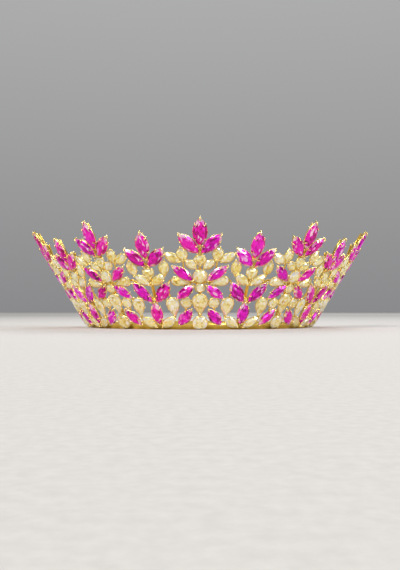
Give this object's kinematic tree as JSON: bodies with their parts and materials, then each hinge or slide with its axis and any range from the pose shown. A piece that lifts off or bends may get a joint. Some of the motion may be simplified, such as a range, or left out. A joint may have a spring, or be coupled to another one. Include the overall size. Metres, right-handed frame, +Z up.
{
  "type": "bridal crown",
  "caption": "Flared bridal crown: eleven-peaked front of pink and pale gold cut stones in gilt settings, closed behind by a plain base band.",
  "frame": {"origin": "centre of the bounding box's bottom face, on the surface that the crown stands on; the ring's own axis is 20 mm behind it", "axes": "+Z up along the ring's axis, the middle peak faces -Y, +X to the right as seen from the front"},
  "size_m": [0.2332, 0.2018, 0.067],
  "materials": {
    "gilt_brass": "polished gilt, soldered joints",
    "fuchsia_glass": "cut, foil-backed",
    "jonquil_glass": "cut, foil-backed"
  },
  "bodies": {
    "root": {"frame": "gilt_brass", "stone_field_0": "jonquil_glass", "stone_field_1": "jonquil_glass", "stone_field_2": "jonquil_glass", "stone_field_3": "jonquil_glass", "stone_field_4": "jonquil_glass", "stone_field_5": "jonquil_glass", "stone_field_6": "jonquil_glass", "stone_field_7": "jonquil_glass", "stone_field_8": "jonquil_glass", "stone_field_9": "jonquil_glass", "stone_field_10": "jonquil_glass", "top_leaf_0": "fuchsia_glass", "left_side_leaf_0": "fuchsia_glass", "right_side_leaf_0": "fuchsia_glass", "top_leaf_1": "fuchsia_glass", "left_side_leaf_1": "fuchsia_glass", "right_side_leaf_1": "fuchsia_glass", "top_leaf_2": "fuchsia_glass", "left_side_leaf_2": "fuchsia_glass", "right_side_leaf_2": "fuchsia_glass", "top_leaf_3": "fuchsia_glass", "left_side_leaf_3": "fuchsia_glass", "right_side_leaf_3": "fuchsia_glass", "top_leaf_4": "fuchsia_glass", "left_side_leaf_4": "fuchsia_glass", "right_side_leaf_4": "fuchsia_glass", "top_leaf_5": "fuchsia_glass", "left_side_leaf_5": "fuchsia_glass", "right_side_leaf_5": "fuchsia_glass", "top_leaf_6": "fuchsia_glass", "left_side_leaf_6": "fuchsia_glass", "right_side_leaf_6": "fuchsia_glass", "top_leaf_7": "fuchsia_glass", "left_side_leaf_7": "fuchsia_glass", "right_side_leaf_7": "fuchsia_glass", "top_leaf_8": "fuchsia_glass", "left_side_leaf_8": "fuchsia_glass", "right_side_leaf_8": "fuchsia_glass", "top_leaf_9": "fuchsia_glass", "left_side_leaf_9": "fuchsia_glass", "right_side_leaf_9": "fuchsia_glass", "top_leaf_10": "fuchsia_glass", "left_side_leaf_10": "fuchsia_glass", "right_side_leaf_10": "fuchsia_glass", "left_x_upper_5": "fuchsia_glass", "right_x_upper_5": "fuchsia_glass", "left_x_lower_5": "fuchsia_glass", "right_x_lower_5": "fuchsia_glass", "middle_round_5": "jonquil_glass", "big_pear_5": "jonquil_glass", "base_round_5": "jonquil_glass"}
  },
  "joints": []
}
